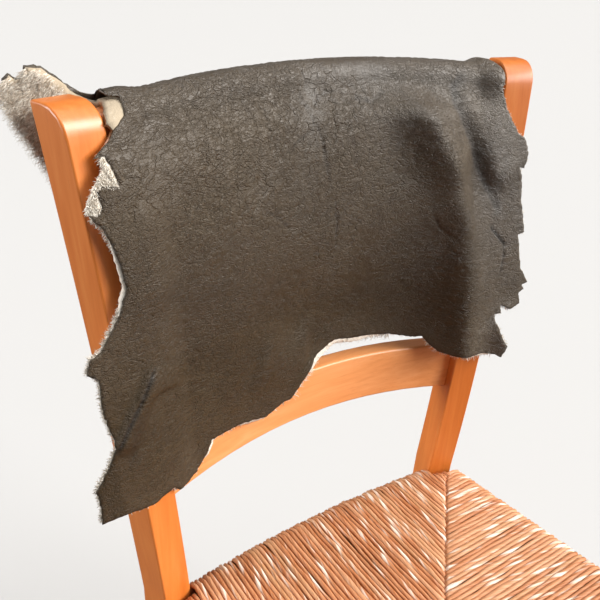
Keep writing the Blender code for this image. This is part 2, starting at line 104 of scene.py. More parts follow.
camera_data = bpy.data.cameras.new("camera")
camera_data.lens = LENS
camera_data.sensor_width = SENSOR
camera = bpy.data.objects.new("camera", camera_data)
bpy.context.scene.collection.objects.link(camera)
camera.location = Vector(FROM_SEAT) + Vector(CAMERA_FROM_SEAT)
camera.rotation_euler = Euler([math.radians(turn) for turn in CAMERA_TURN])
bpy.context.scene.camera = camera

# %% [markdown]
# ## Helpers
# One function turns an sRGB hex colour to the linear numbers that shaders want. One fills a node's
# inputs. One adds a node and gives its output. One starts a material. One makes a mesh object out
# of arrays of points and faces, which the soft pieces need, because rules work out their shapes.


# %% Colours, nodes and materials
def linear(code):
    """One sRGB hex colour as linear RGBA."""
    parts = [int(code[i : i + 2], 16) / 255 for i in (1, 3, 5)]
    return [c / 12.92 if c <= 0.04045 else ((c + 0.055) / 1.055) ** 2.4 for c in parts] + [1.0]


def set_inputs(node, inputs):
    """Fills a node's inputs: links an output, and sets a hex colour or a number."""
    for name, given in inputs.items():
        if isinstance(given, bpy.types.NodeSocket):
            node.id_data.links.new(given, node.inputs[name])
        else:
            node.inputs[name].default_value = linear(given) if isinstance(given, str) else given


def add_node(tree, kind, inputs, output=0, stops=(), **settings):
    """A new shader node's output, after its settings, inputs and, for a ramp, its colour stops."""
    made = tree.nodes.new("ShaderNode" + kind)
    for name, value in settings.items():
        setattr(made, name, value)
    set_inputs(made, inputs)
    for i, (place, colour) in enumerate(stops):
        ramp = made.color_ramp.elements
        stop = ramp[i] if i < len(ramp) else ramp.new(place)
        stop.position = place
        stop.color = linear(colour)
    return made.outputs[output]


# The colour sockets of a Mix node share their names with its other sockets, so they go by number.
FACTOR, FIRST, SECOND = 0, 6, 7
COLOURS = {"output": 2, "data_type": "RGBA"}


def start_material(name):
    """A new material: itself, add_node for its own tree, and its Principled shader."""
    made = bpy.data.materials.new(name)
    made.use_nodes = True
    return made, partial(add_node, made.node_tree), made.node_tree.nodes["Principled BSDF"]


# %% Meshes from arrays
def finish_piece(piece, surface):
    """Gives a piece its material and its slot, and lets it move with the chair."""
    piece.data.materials.clear()
    piece.data.materials.append(surface)
    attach(piece, "root")
    return piece


def mesh_piece(name, points, faces, flat=None, values=None):
    """A smooth mesh object from points in the seat's frame, with a UV map and point values."""
    mesh = bpy.data.meshes.new(name)
    mesh.from_pydata((np.asarray(points) + FROM_SEAT).tolist(), [], faces)
    mesh.validate()
    mesh.shade_smooth()
    if flat is not None:
        corners = np.zeros(len(mesh.loops), dtype=np.int32)
        mesh.loops.foreach_get("vertex_index", corners)
        mesh.uv_layers.new(name="flat").data.foreach_set("uv", np.asarray(flat)[corners].ravel())
    for label, numbers in (values or {}).items():
        layer = mesh.attributes.new(label, "FLOAT", "POINT")
        layer.data.foreach_set("value", np.asarray(numbers, dtype=np.float32))
    piece = bpy.data.objects.new(name, mesh)
    bpy.context.scene.collection.objects.link(piece)
    return piece


def face_out(piece):
    """Turns the faces of a closed shell outwards."""
    bm = bmesh.new()
    bm.from_mesh(piece.data)
    bmesh.ops.recalc_face_normals(bm, faces=bm.faces)
    if bm.calc_volume(signed=True) < 0:
        bmesh.ops.reverse_faces(bm, faces=bm.faces)
    bm.to_mesh(piece.data)
    bm.free()


def apply_modifier(piece, name, kind, **settings):
    """Adds one modifier, sets it and applies it."""
    bpy.ops.object.select_all(action="DESELECT")
    piece.select_set(True)
    bpy.context.view_layer.objects.active = piece
    modifier = piece.modifiers.new(name, kind)
    for setting, value in settings.items():
        setattr(modifier, setting, value)
    bpy.ops.object.modifier_apply(modifier=name)
    piece.select_set(False)


def unit(vectors):
    """The same ways, each of length 1."""
    return vectors / np.linalg.norm(vectors, axis=1)[:, None]


# %% [markdown]
# ## Beech
# The chair is beech under a satin lacquer that has gone orange. Beech is plain wood: its grain is
# a soft streak along the member, with thin darker flecks, drawn longer here than they are. So one
# material is made three times, with its streaks upright, across and from front to back. The copy
# with its streaks across is paler: painted sheen, for the light on the rails and stretchers. It
# gives the eye an even orange and a soft band of light where an edge is rounded.


# %% The beech material
def beech(name, stretch, dark, middle, light):
    """Lacquered beech in three tones, whose grain runs along the axis that stretch makes longest."""
    made, add, shader = start_material(name)
    place = add("TexCoord", {}, "Object")
    along = add("Mapping", {"Vector": place, "Scale": stretch})
    streaks = add(
        "TexNoise",
        {"Vector": along, "Scale": 150.0, "Detail": 6.0, "Roughness": 0.65, "Distortion": 0.4},
    )
    broad = add("TexNoise", {"Vector": along, "Scale": 14.0, "Detail": 2.0})
    flecks = add("TexVoronoi", {"Vector": along, "Scale": 420.0, "Randomness": 1.0})
    grain = add("ValToRGB", {"Fac": streaks}, stops=((0.32, dark), (0.5, middle), (0.68, light)))
    tone = add("ValToRGB", {"Fac": broad}, stops=((0.3, dark), (0.4, middle), (0.8, light)))
    mixed = add("Mix", {FACTOR: 0.55, FIRST: grain, SECOND: tone}, **COLOURS)
    depth = add(
        "MapRange", {"Value": flecks, "From Min": 0.05, "From Max": 0.22, "To Min": 0.22, "To Max": 0.0}
    )
    flecked = add("Mix", {FACTOR: depth, FIRST: mixed, SECOND: "#A85A22"}, **COLOURS)
    gloss = add("MapRange", {"Value": streaks, "To Min": 0.30, "To Max": 0.42})
    relief = add("Bump", {"Height": streaks, "Strength": 0.12, "Distance": 0.0006})
    set_inputs(
        shader, {"Base Color": flecked, "Roughness": gloss, "Normal": relief, "Specular IOR Level": 0.7}
    )
    return made


UPRIGHT, SIDEWAYS, FORWARDS = (1.0, 1.0, 0.05), (0.05, 1.0, 1.0), (1.0, 0.05, 1.0)
beech_upright = beech("lacquered_beech_upright", UPRIGHT, "#BC5E18", "#CF722C", "#DC863E")
# Paler than the other two: painted sheen.
beech_across = beech("lacquered_beech_across_with_painted_sheen", SIDEWAYS, "#CC7A3C", "#E39558", "#F0AC76")
beech_forwards = beech("lacquered_beech_forwards", FORWARDS, "#BF5E14", "#D67529", "#E38838")

# %% [markdown]
# ## The chair's wood
# The posts, rails, legs and stretchers already have the right shapes. They come in as loose
# triangles, which would shade as flat facets. A copy of each has its doubled points merged and is
# shaded smooth, except across its real edges, and then stands for the solid. Its normals lean to
# its larger faces, so that a band of light runs straight across a rounded top.

# %% Smooth copies of the wooden members
MEMBERS = (
    ("post_left", beech_upright),
    ("post_right", beech_upright),
    ("crest_rail", beech_across),
    ("lower_rail", beech_across),
    ("front_leg_left", beech_upright),
    ("front_leg_right", beech_upright),
    ("stretcher_left", beech_forwards),
    ("stretcher_right", beech_forwards),
    ("stretcher_back", beech_across),
    ("stretcher_front", beech_across),
)
SAME_POINT = 0.00002
SMOOTH_BELOW = math.radians(28)
FACE_WEIGHT = 100  # how much more the normals lean to a larger face


def smooth_copy(node):
    """A copy of a solid with merged points, smooth below a small angle."""
    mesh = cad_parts[node].data.copy()
    piece = bpy.data.objects.new(node + "_wood", mesh)
    bpy.context.scene.collection.objects.link(piece)
    bm = bmesh.new()
    bm.from_mesh(mesh)
    bmesh.ops.remove_doubles(bm, verts=bm.verts, dist=SAME_POINT)
    bm.to_mesh(mesh)
    bm.free()
    bpy.context.view_layer.objects.active = piece
    piece.select_set(True)
    bpy.ops.object.shade_smooth_by_angle(angle=SMOOTH_BELOW)
    piece.select_set(False)
    apply_modifier(piece, "flat_faces", "WEIGHTED_NORMAL", weight=FACE_WEIGHT, keep_sharp=True)
    return piece


for node, surface in MEMBERS:
    wood = finish_piece(smooth_copy(node), surface)
    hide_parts(node)
print("wooden members:", len(MEMBERS))

# %% [markdown]
# ## The rush seat
# A rush seat is one long twisted strand, wound over the four rails from each corner to the middle.
# That leaves four fields of strands, each square to its rail, that meet in seams on the diagonals.
# Each strand here is a bent tube: down into the seam, over the top, round the rail, and back
# underneath. They are made from arrays, one field to a piece, over a dark core of stuffing.

# %% The seat's sizes
SEAT_THICK, SEAT_BACK, SEAT_FRONT, SEAT_BOW = 0.034, 0.010, -0.385, 0.006
SEAT_CROWN = 0.004  # how far the strands rise in the middle of the back field
SEAT_HALF_BACK, SEAT_HALF_FRONT = 0.180, 0.212
POST_NOTCH_X, POST_NOTCH_Y = 0.1445, -0.0125
SEAM_BACK, SEAM_FRONT = 0.173, 0.205  # half the width between the seams at each end
STRAND_PITCH, STRAND_RADIUS, STRAND_SIDES = 0.0044, 0.0024, 6
EDGE_ROUND = 0.0125
POST_CLEAR = 0.0008
CROWN_RUN = 0.25  # how far forward the crown has gone down
SEAM_ENDS = ((0.0010, -0.0090), (-0.0015, -0.0052))  # a strand's end: past the seam, and height
SEAM_RUN, RING_STEP = 0.004, 0.018
WOBBLE, RISE_STRAY, SWELL, UNEVEN = 0.00035, 0.0002, 0.10, 0.09  # how uneven the strands are
rng = np.random.default_rng(7)


def seam_inset(field, place):
    """How far a strand runs from the seat's edge to the seam, for each field."""
    if field == "back":
        return seat_back(place) + SEAM_BACK - abs(place)
    if field == "front":
        return SEAM_FRONT - abs(place)
    edge = seat_side(place)
    from_back = SEAM_BACK + place
    from_front = SEAM_FRONT - (place - SEAT_FRONT)
    return edge - max(from_back, from_front)


def seat_back(x):
    """Where the back field starts: behind the back rail, or at the front of a post."""
    if abs(x) < POST_NOTCH_X:
        return SEAT_BACK + SEAT_BOW * (1 - (x / POST_NOTCH_X) ** 2)
    return -POST_CLEAR - (abs(x) - POST_NOTCH_X) * math.tan(POST_TURN)


def seat_side(y):
    """Half the seat's width at a place from back to front."""
    share = (POST_NOTCH_Y - y) / (POST_NOTCH_Y - SEAT_FRONT)
    return SEAT_HALF_BACK + (SEAT_HALF_FRONT - SEAT_HALF_BACK) * share


def strand_line(inset):
    """A strand's middle line, as (inset from the edge, height), from seam to seam."""
    r, e = STRAND_RADIUS, EDGE_ROUND
    bend = e - r
    half = math.sqrt(0.5)
    flat = max(inset - SEAM_RUN, e + 0.0005)
    line = [(inset + past, height) for past, height in SEAM_ENDS]
    count = max(1, round((flat - e) / RING_STEP))
    line += [(flat + (e - flat) * i / count, -r - 0.0004) for i in range(count)]
    line += [(e, -r), (e - bend * half, -e + bend * half), (r, -e), (r, e - SEAT_THICK)]
    line += [(e - bend * half, -SEAT_THICK + e - bend * half), (e, -SEAT_THICK + r)]
    line += [(max(inset, e + 0.002), -SEAT_THICK + r + 0.001)]
    return np.array(line)


# %% Strands as bent tubes
def strand_tube(line, outer, inwards, sideways, radius):
    """Rings of points round a strand's middle line, with how far along and around each is."""
    wobble = rng.normal(0, WOBBLE, len(line))
    swell = radius * (1 + rng.normal(0, SWELL, len(line)))
    middle = outer + np.outer(line[:, 0], inwards) + np.outer(wobble, sideways)
    rise = SEAT_CROWN * np.clip(1 - (middle[:, 0] / SEAT_HALF_BACK) ** 2, 0, 1)
    rise *= np.clip(1 + middle[:, 1] / CROWN_RUN, 0, 1) * (line[:, 1] > -SEAT_THICK / 2)
    middle[:, 2] += line[:, 1] + rise + rng.normal(0, RISE_STRAY, len(line))
    up = np.cross(sideways, unit(np.gradient(middle, axis=0)))
    turns = np.arange(STRAND_SIDES + 1) * 2 * math.pi / STRAND_SIDES
    rings = (
        middle[:, None]
        + swell[:, None, None] * np.cos(turns)[None, :, None] * sideways
        + swell[:, None, None] * np.sin(turns)[None, :, None] * up[:, None]
    )
    steps = np.concatenate(([0], np.cumsum(np.linalg.norm(np.diff(middle, axis=0), axis=1))))
    flat = np.stack(np.broadcast_arrays(steps[:, None], turns[None] * STRAND_RADIUS), axis=-1)
    return rings.reshape(-1, 3), flat.reshape(-1, 2)


def rush_field(name, places, outer_at, inwards):
    """One field of strands, square to its rail."""
    sideways = np.cross((0, 0, 1), inwards)
    points, flats, tones, faces = [], [], [], []
    base = 0
    for place in places:
        inset = seam_inset(name.split("_")[1], place)
        if inset < EDGE_ROUND * 0.5:
            continue
        line = strand_line(inset)
        radius = STRAND_RADIUS * (1 + rng.normal(0, UNEVEN))
        rings, flat = strand_tube(line, outer_at(place), np.array(inwards), sideways, radius)
        flat[:, 0] += rng.uniform(0, 10)
        width = STRAND_SIDES + 1
        for i in range(len(line) - 1):
            for j in range(STRAND_SIDES):
                a = base + i * width + j
                faces.append((a, a + 1, a + width + 1, a + width))
        faces.append([base + j for j in range(STRAND_SIDES)][::-1])
        faces.append([base + (len(line) - 1) * width + j for j in range(STRAND_SIDES)])
        points.append(rings)
        flats.append(flat)
        tones.append(np.full(len(rings), rng.uniform(0, 1)))
        base += len(rings)
    piece = mesh_piece(
        name, np.concatenate(points), faces, np.concatenate(flats), {"tone": np.concatenate(tones)}
    )
    print(name, "faces:", len(piece.data.polygons))
    return piece


def rows(low, high):
    """Even places between two limits, about one strand apart."""
    count = int((high - low) / STRAND_PITCH)
    return [low + (high - low) * (i + 0.5) / count for i in range(count)]


# %% [markdown]
# ### Rush
# Rush is a dried marsh plant, twisted by hand into a cord. It gives the eye long pale and brown
# fibres that run round the strand at a slant, bleached streaks, a dull surface, and dark gaps
# between the strands.


# %% The rush material
def rush():
    """Twisted rush: slanting fibres in straw, orange and brown."""
    made, add, shader = start_material("twisted_rush")
    flat = add("UVMap", {}, uv_map="flat")
    slanted = add("Mapping", {"Vector": flat, "Rotation": (0, 0, math.radians(14))})
    long_fibres = add("Mapping", {"Vector": slanted, "Scale": (45.0, 900.0, 1.0)})
    fibres = add("TexNoise", {"Vector": long_fibres, "Scale": 1.0, "Detail": 4.0, "Roughness": 0.55})
    patches = add("Mapping", {"Vector": slanted, "Scale": (17.0, 150.0, 1.0)})
    pale = add("TexNoise", {"Vector": patches, "Scale": 1.0, "Detail": 2.0})
    straw = add(
        "ValToRGB", {"Fac": fibres}, stops=((0.30, "#8A4A22"), (0.44, "#C27C4A"), (0.60, "#DCA67C"))
    )
    tone = add("Attribute", {}, "Fac", attribute_name="tone")
    own = add(
        "ValToRGB", {"Fac": tone},
        stops=((0.0, "#A45C2E"), (0.45, "#C48054"), (0.8, "#D4A27C"), (1.0, "#C09064")),
    )
    mixed = add("Mix", {FACTOR: 0.5, FIRST: straw, SECOND: own}, **COLOURS)
    bleached = add(
        "MapRange", {"Value": pale, "From Min": 0.57, "From Max": 0.66, "To Min": 0.0, "To Max": 0.85}
    )
    streaked = add("Mix", {FACTOR: bleached, FIRST: mixed, SECOND: "#FAEBDA"}, **COLOURS)
    relief = add("Bump", {"Height": fibres, "Strength": 0.6, "Distance": 0.0008})
    set_inputs(shader, {"Base Color": streaked, "Normal": relief, "Roughness": 0.62})
    return made


rush_surface = rush()

# %% The four fields
side_strands = rows(SEAT_FRONT + 0.003, POST_NOTCH_Y - 0.001)
back_strands = rows(-SEAM_BACK + 0.003, SEAM_BACK - 0.003)
front_strands = rows(-SEAM_FRONT, SEAM_FRONT)
FIELDS = (
    ("rush_back", back_strands, lambda p: np.array((p, seat_back(p), 0)), (0, -1, 0)),
    ("rush_front", front_strands, lambda p: np.array((p, SEAT_FRONT, 0)), (0, 1, 0)),
    ("rush_left", side_strands, lambda p: np.array((-seat_side(p), p, 0)), (1, 0, 0)),
    ("rush_right", side_strands, lambda p: np.array((seat_side(p), p, 0)), (-1, 0, 0)),
)
for name, places, outer_at, inwards in FIELDS:
    field = finish_piece(rush_field(name, places, outer_at, inwards), rush_surface)
    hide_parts("rush_seat")

# %% [markdown]
# The core stands for the rails and the stuffing inside. It is the seat's solid, smaller by one or
# two strands on each side, and browner than the rush, because little light gets between them.

# %% The core
CORE_SHARE = (0.955, 0.965, 0.66)

core_surface, add, core_shader = start_material("shaded_stuffing")
core_place = add("TexCoord", {}, "Object")
core_noise = add("TexNoise", {"Vector": core_place, "Scale": 260.0, "Detail": 3.0})
core_tone = add("ValToRGB", {"Fac": core_noise}, stops=((0.3, "#7A4522"), (0.7, "#A4683A")))
set_inputs(core_shader, {"Base Color": core_tone, "Roughness": 0.9})
core = smooth_copy("rush_seat")
core.name = "rush_core"
low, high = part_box("rush_seat")
core_middle = (Vector(low) + Vector(high)) / 2
for vertex in core.data.vertices:
    vertex.co = core_middle + (vertex.co - core_middle) * Vector(CORE_SHARE)
finish_piece(core, core_surface)
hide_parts("rush_seat")

# %% [markdown]
# ## The drape
# The hide is one flat cut that bends over the top rail. "Across" is the chair's x. "Along" runs
# over the rail: above 0 in front, below 0 behind. These rules say where a place on the flat cut
# comes to lie: level over the rail, round its shoulder, then down in front of the bowed rails and
# forward over the posts. Left of the post the sheet isn't bent over, so a flap stands up there.

# %% The chair's sizes that the hide follows
POST_ABOVE_SEAT, POST_WIDTH, POST_DEPTH = 0.430, 0.0282, 0.0317
INNER_HALF, SPLAY, LEAN, CURVE = 0.1452, 0.077, -0.065, 0.168  # how the posts go up
RAIL_SETBACK, RAIL_BOW, RAIL_THICK = 0.0093, 0.025, 0.018
CREST_BOTTOM, CREST_HEIGHT, CREST_ARCH = 0.361, 0.059, 0.0115
LOWER_TOP = 0.1655
GAP = 0.0003  # between a rail's end and its post

# %% The hide's sizes
HIDE_THICK, CROWN_CLEAR, EDGE_CLEAR, CROWN_FLAT = 0.005, 0.0009, 0.0022, 0.003
BEND_RADIUS = RAIL_THICK / 2 + EDGE_CLEAR + HIDE_THICK / 2 - CROWN_FLAT
STAND_OFF = EDGE_CLEAR + HIDE_THICK / 2  # from the wood to the sheet's middle
POST_MARGIN, POST_MARGIN_INSIDE, POST_WIDTHS_OUT = 0.040, 0.030, 1.6
BACK_MARGIN, POST_BACK_CLEAR, LOOSE_RUN = 0.030, 0.002, 0.030
SINK, SINK_EASE, SINK_BESIDE_POST, SINK_BESIDE_RAIL = 0.014, 0.030, 0.010, 0.004
FLAP_START, FLAP_FULL, FLAP_FRONT, FLAP_RISE = -0.170, -0.184, 0.013, 0.004
FLAP_CURL, CURL_START, CURL_RUN = 0.010, -0.040, 0.060
FLAP_BESIDE, TEAR_AT = -0.190, 0.004  # to the right of this place the flap is torn off the front


# %% The chair's surfaces
def soft_step(t):
    """0 below 0, 1 above 1, and a soft step between."""
    t = np.clip(t, 0.0, 1.0)
    return t * t * (3 - 2 * t)


def post_inner(height):
    """How far from the middle a post's inner front edge is."""
    return INNER_HALF + SPLAY * np.clip(height, 0, POST_ABOVE_SEAT)


def post_front(height):
    """Where a post's front is, from front to back."""
    above = np.clip(height, 0, POST_ABOVE_SEAT)
    return LEAN * np.minimum(height, POST_ABOVE_SEAT) + CURVE * above * above


def rail_crown(across, height, back):
    """1 at the middle of a back rail and 0 at its end."""
    end = post_inner(height) + (RAIL_SETBACK + back) * math.tan(POST_TURN)
    share = np.minimum(np.abs(across) / (end - GAP / math.cos(POST_TURN)), 1.0)
    return 1 - share * share


def rail_face(across, height, back):
    """Where a rail is, from front to back, at some depth behind its front."""
    return post_front(height) + RAIL_SETBACK + RAIL_BOW * rail_crown(across, height, back) + back


def crest_top(across):
    """The top rail's arched top."""
    ends = CREST_BOTTOM + CREST_HEIGHT
    return ends + CREST_ARCH * rail_crown(across, ends, RAIL_THICK / 2)


def panel_front(across, height):
    """The sheet's middle in front: over the bowed rails, and forward over the posts."""
    past_post = np.abs(across) - post_inner(height)
    over_rail = rail_face(across, height, 0) - STAND_OFF
    out = np.clip(past_post / POST_WIDTH, 0.0, POST_WIDTHS_OUT)
    over_post = post_front(height) - STAND_OFF - POST_WIDTH * math.sin(POST_TURN) * out
    blend = soft_step((past_post + POST_MARGIN_INSIDE) / POST_MARGIN)
    return over_rail * (1 - blend) + over_post * blend


def panel_back(across, height):
    """The sheet's middle behind: off the top rail and the posts' back corners."""
    over_rail = rail_face(across, height, RAIL_THICK) + STAND_OFF
    post_back = post_front(height) + POST_DEPTH * math.cos(POST_TURN)
    over_post = post_back + POST_BACK_CLEAR + STAND_OFF
    blend = soft_step((np.abs(across) - post_inner(height) + BACK_MARGIN) / BACK_MARGIN)
    return over_rail * (1 - blend) + np.maximum(over_post, over_rail) * blend


def room_behind(across, height):
    """How far the front may sink back between the posts and between the rails."""
    beside = soft_step((post_inner(height) - SINK_BESIDE_POST - np.abs(across)) / SINK_EASE)
    below = soft_step((CREST_BOTTOM - SINK_BESIDE_RAIL - height) / SINK_EASE)
    above = soft_step((height - LOWER_TOP - SINK_BESIDE_RAIL) / SINK_EASE)
    return SINK * beside * below * above


# %% [markdown]
# ### Folds and creases
# The folds are listed, a row for each: a line on the flat cut from top to bottom, how far the
# sheet stands forward there, and how wide the fold is to the left and right of the line. A width
# that is small on one side makes a fold that laps over. Creases are the same, only narrow.

# %% Folds of the front and the back, and creases, in millimetres
# name, forward, left width, right width, share of the line over which its ends fade, line
RISE_LINE = (
    (76, 8), (83, 41), (97, 63), (110, 88), (119, 115), (132, 146), (138, 180), (144, 290), (150, 350),
)
FRONT_FOLDS = (
    ("rise before the post", 7, 22, 34, 0.06, RISE_LINE),
    ("top of the rise", 9, 20, 30, 0.30, ((78, 16), (83, 41), (97, 63), (110, 88), (120, 112))),
    ("rise, wider below", 14, 44, 24, 0.25,
     ((92, 52), (110, 88), (119, 115), (132, 146), (138, 180), (143, 250), (152, 370))),
    ("crest of the rise", 4, 11, 10, 0.15, RISE_LINE),
    ("rise over the post", 7, 11, 26, 0.20, ((136, 4), (144, 41), (154, 64), (166, 90), (184, 116))),
    ("tail at the corner", 6, 20, 14, 0.20, ((180, 236), (198, 262), (208, 300))),
    ("rounded shoulder", 4, 45, 40, 0.0, ((-200, 44), (0, 48), (90, 46))),
    ("belly", 14, 78, 78, 0.3, ((-240, 92), (-110, 98), (-30, 104), (90, 100), (190, 100))),
    ("belly of the left", 5, 60, 60, 0.0, ((-90, 110), (-80, 220))),
    ("hollow of the right", -9, 50, 50, 0.0, ((4, 230), (50, 238), (88, 240))),
    ("lap at the corner", 5, 3.8, 20, 0.20, ((-164, 180), (-176, 198), (-190, 216), (-207, 240))),
    ("valley beside the lap", -7, 10, 15, 0.10, ((-160, 206), (-176, 250), (-192, 304))),
    ("corner roll", 5, 14, 14, 0.0, ((196, 240), (203, 292))),
    ("shallow valley", -3, 22, 24, 0.2, ((-76, 178), (-40, 208), (-4, 232))),
    ("swell at the step", 4, 28, 26, 0.2, ((-70, 240), (-36, 250), (0, 256))),
    ("left shoulder", 5, 22, 16, 0.2, ((-140, 26), (-158, 90), (-160, 150))),
)
BACK_FOLDS = (
    ("left wave", 6, 26, 26, 0.0, ((-120, -40), (-135, -230))),
    ("middle wave", 4, 34, 34, 0.0, ((-10, -60), (5, -230))),
    ("right wave", 6, 28, 28, 0.0, ((110, -40), (125, -220))),
)
CREASES = (
    ("middle crease", -0.6, 1.5, 1.9, 0.2, ((-22, 24), (-16, 44), (-8, 62), (-4, 84), (-2, 98))),
    ("branch to the left", -0.6, 1.3, 1.6, 0.3, ((-13, 50), (-30, 58), (-44, 66))),
    ("branch to the right", -0.6, 1.3, 1.6, 0.3, ((-16, 40), (2, 30), (20, 28))),
    ("line above the trough", -0.7, 1.5, 1.8, 0.3, ((20, 34), (44, 38), (62, 30))),
    ("lap's crease", -1.9, 1.0, 1.3, 0.12, ((-166, 182), (-178, 200), (-192, 218), (-206, 238))),
    ("valley by the lap", -0.6, 4, 7, 0.25, ((-180, 204), (-189, 230), (-196, 262))),
    ("long valley", -1.2, 3.5, 7, 0.12, ((146, 10), (128, 26), (125, 41), (142, 73), (162, 112), (180, 143))),
    ("right edge crease", -1.5, 1.5, 2.2, 0.3, ((162, 143), (179, 158), (191, 170))),
    ("right upright crease", -0.9, 1.3, 1.8, 0.3, ((184, 160), (186, 176), (184, 196))),
    ("slanting line", -0.6, 1.3, 1.4, 0.4, ((-72, 96), (-52, 112), (-34, 130))),
    ("long upright line", -0.5, 1.3, 1.4, 0.4, ((2, 96), (8, 130), (10, 165))),
    ("line in the trough", -0.7, 1.3, 1.6, 0.3, ((96, 124), (108, 142), (126, 156))),
)


def along_line(line, across, along):
    """Nearest distance to a line on the flat cut, share of the way along it, and the side."""
    corners = np.array(line) * MM
    lengths = np.linalg.norm(np.diff(corners, axis=0), axis=1)
    begun = np.concatenate(([0.0], np.cumsum(lengths)))
    nearest = np.full(np.shape(across), np.inf)
    share_at, side = np.zeros(np.shape(across)), np.zeros(np.shape(across))
    for (ax, ay), (bx, by), before, length in zip(corners, corners[1:], begun, lengths):
        rx, ry = bx - ax, by - ay
        share = np.clip(((across - ax) * rx + (along - ay) * ry) / length**2, 0, 1)
        dx, dy = across - ax - rx * share, along - ay - ry * share
        distance = np.hypot(dx, dy)
        closer = distance < nearest
        nearest = np.where(closer, distance, nearest)
        share_at = np.where(closer, (before + share * length) / begun[-1], share_at)
        side = np.where(closer, np.sign(rx * dy - ry * dx), side)
    return nearest, share_at, side


def fold_height(folds, across, along):
    """How far a table of folds pushes the sheet away from the chair."""
    total = np.zeros(np.shape(across))
    for _, forward, left_width, right_width, fade, line in folds:
        nearest, share, side = along_line(line, across, along)
        width = np.where(side > 0, left_width, right_width) * MM
        ends = soft_step(share / fade) * soft_step((1 - share) / fade) if fade else 1.0
        total += forward * MM * np.exp(-((nearest / width) ** 2)) * ends
    return total


# %% From the flat cut to the chair
def drape(across, along):
    """Where places on the flat cut lie, as points in the seat's frame."""
    across, along = np.asarray(across, float), np.asarray(along, float)
    front = along >= 0
    towards = np.where(front, -1.0, 1.0)
    crown = crest_top(across) + CROWN_CLEAR + HIDE_THICK / 2
    shoulder = crown - BEND_RADIUS
    over_top = CROWN_FLAT + BEND_RADIUS * math.pi / 2
    run = np.abs(along)
    down = run - over_top
    height = shoulder - np.maximum(down, 0)
    loose = soft_step(down / LOOSE_RUN)
    forward = fold_height(FRONT_FOLDS, across, along) * loose
    before = panel_front(across, height) - np.maximum(forward, -room_behind(across, height))
    behind = panel_back(across, height) + fold_height(BACK_FOLDS, across, along) * loose
    plane = np.where(front, before, behind)
    middle = rail_face(across, crown, RAIL_THICK / 2)
    angle = np.clip((run - CROWN_FLAT) / BEND_RADIUS, 0, math.pi / 2)
    reach = np.minimum(run, CROWN_FLAT) + BEND_RADIUS * np.sin(angle)
    missing = plane - (middle + towards * (CROWN_FLAT + BEND_RADIUS))
    y = middle + towards * reach + missing * soft_step(angle / (math.pi / 2))
    z = crown - BEND_RADIUS * (1 - np.cos(angle)) - np.maximum(down, 0)
    up = shoulder + over_top + along + FLAP_RISE
    curl = FLAP_CURL * soft_step((up - crest_top(across) - CURL_START) / CURL_RUN)
    flap_until = np.where(across < FLAP_BESIDE, FLAP_FRONT, TEAR_AT)
    standing = soft_step((FLAP_START - across) / (FLAP_START - FLAP_FULL)) * (along < flap_until)
    flap_y = panel_back(across, np.minimum(up, POST_ABOVE_SEAT)) + curl
    return np.stack((across, y + (flap_y - y) * standing, z + (up - z) * standing), axis=-1)


# %% [markdown]
# ### The cut's outline
# A row for each corner of the torn edge, in millimetres: across, and along. The leather has its
# own notch beside the left post, where the wool shows, so it has its own rows there.

# %% The outline of the leather and of the wool
LEATHER_START = (
    (-174, 3), (-161, 7), (-164, 16), (-173, 20), (-178, 24), (-186, 29), (-192, 33),
)
WOOL_START = ((-173, 4), (-177, 10), (-179, 17), (-175, 21), (-181, 26), (-190, 31))
LEATHER_NOTCH = (
    (-184, 33), (-182, 38), (-180, 46), (-179, 51), (-190, 48), (-194, 51), (-192, 61), (-196, 65),
    (-201, 63),
)
WOOL_NOTCH = ((-187, 38), (-196, 48), (-203, 60))
LEFT_EDGE = (
    (-199, 67), (-193, 74), (-189, 85), (-185, 99), (-183, 116), (-189, 132), (-197, 144),
    (-205, 155), (-213, 158), (-216, 168), (-209, 174), (-209, 201), (-203, 232), (-210, 248),
    (-221, 264), (-219, 279), (-220, 295),
)
BOTTOM_EDGE = (
    (-201, 295), (-178, 303), (-160, 302), (-152, 311), (-132, 313), (-120, 304), (-114, 292),
    (-85, 294), (-54, 302), (-38, 296), (-26, 295), (-9, 276), (1, 265), (12, 259), (25, 253),
    (44, 256), (66, 257), (87, 259), (106, 262), (115, 260), (120, 267), (127, 274), (139, 276),
    (152, 275), (168, 277), (186, 280),
)
RIGHT_EDGE = (
    (194, 284), (197, 271), (190, 259), (183, 244), (183, 236), (189, 236), (189, 227),
    (198, 233), (213, 230), (210, 218), (217, 216), (213, 210), (221, 209), (208, 192),
    (203, 169), (200, 156), (206, 154), (204, 143), (199, 123), (198, 108), (195, 98), (189, 90),
    (196, 92), (199, 84), (198, 73), (194, 65), (188, 62), (184, 57), (179, 48), (174, 39),
    (171, 26), (172, 14),
)
BACK_EDGE = (
    (169, 1), (166, -24), (177, -44), (185, -80), (179, -122), (187, -165), (178, -205),
    (150, -226), (108, -219), (62, -236), (10, -228), (-44, -240), (-92, -226), (-138, -234),
    (-172, -222), (-186, -190), (-181, -150), (-189, -110), (-192, -80), (-204, -50), (-213, -34),
    (-218, -22), (-223, -8), (-222, 2), (-218, 5), (-214, 2), (-209, 3), (-208, 9), (-198, 8),
    (-188, 0), (-180, -8), (-172, -9),
)
TORN = 0.0009  # how far the torn edge strays from the straight line between two corners
FRAYS = 330, 900  # how often it strays, coarse and fine, in waves to the metre


